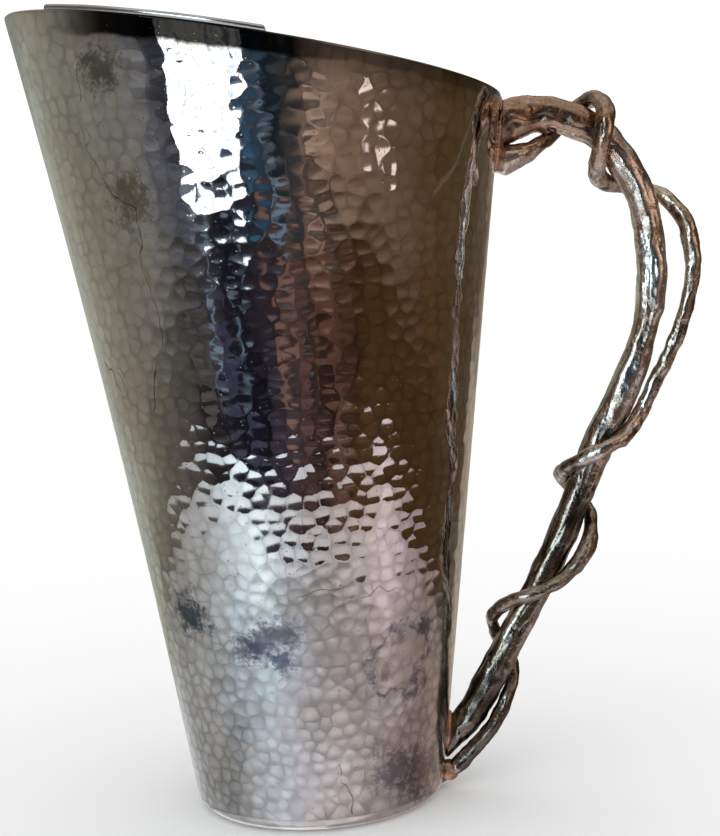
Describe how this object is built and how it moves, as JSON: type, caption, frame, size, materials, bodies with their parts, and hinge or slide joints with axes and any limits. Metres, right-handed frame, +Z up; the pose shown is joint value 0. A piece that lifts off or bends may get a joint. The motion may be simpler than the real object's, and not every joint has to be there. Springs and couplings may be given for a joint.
{
  "type": "water pitcher",
  "caption": "Hammered conical serving pitcher with an oblique mouth, an ice guard over the pouring end, and an open handle of a cast branch wound with a vine.",
  "frame": {"origin": "centre of the underside, where the pitcher stands", "axes": "+Z up; -X towards the pouring end of the mouth, +X towards the handle; +Y completes the right-handed frame"},
  "size_m": [0.2041, 0.145, 0.2411],
  "materials": {
    "hammered_silver": "hammered silver plate, bright, with brown and blue-grey tarnish",
    "smooth_silver": "smooth silver plate, lightly scratched and tarnished",
    "cast_silver": "cast silver plate, lumpy, dark in the creases, copper showing on worn spots",
    "solder": "dull solder with a copper tint"
  },
  "bodies": {
    "root": {"body_wall": "hammered_silver", "base_plate": "smooth_silver", "base_solder_ring": "solder", "ice_guard": "smooth_silver", "guard_solder_tacks": "solder", "handle_branch": "cast_silver", "handle_vine": "cast_silver", "vine_solder_tacks": "solder", "root_solder": "solder", "branch_foot_solder": "solder", "vine_foot_solder": "solder"}
  },
  "joints": []
}
